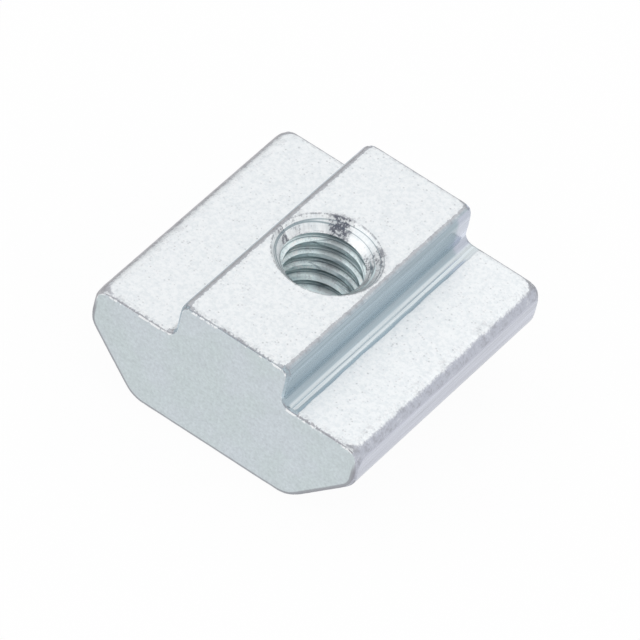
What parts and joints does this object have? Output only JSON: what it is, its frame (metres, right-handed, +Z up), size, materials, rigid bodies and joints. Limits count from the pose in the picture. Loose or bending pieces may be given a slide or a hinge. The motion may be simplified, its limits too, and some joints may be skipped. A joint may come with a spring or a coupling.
{
  "type": "t slot nut",
  "caption": "Sliding nut for a slotted aluminium profile: a wide body with sloped wings, a neck that stands in the slot and a threaded hole down through it.",
  "frame": {"origin": "middle of the flat underside, on the axis of the threaded hole", "axes": "+Z up through the neck along the threaded hole, Y along the slot, X across the wings"},
  "size_m": [0.0196, 0.0196, 0.0095],
  "materials": {
    "zinc_steel": "bright zinc plate, matte on the top faces and satin on the drawn sides and sawn ends"
  },
  "bodies": {
    "root": {"nut_body": "zinc_steel"}
  },
  "joints": []
}
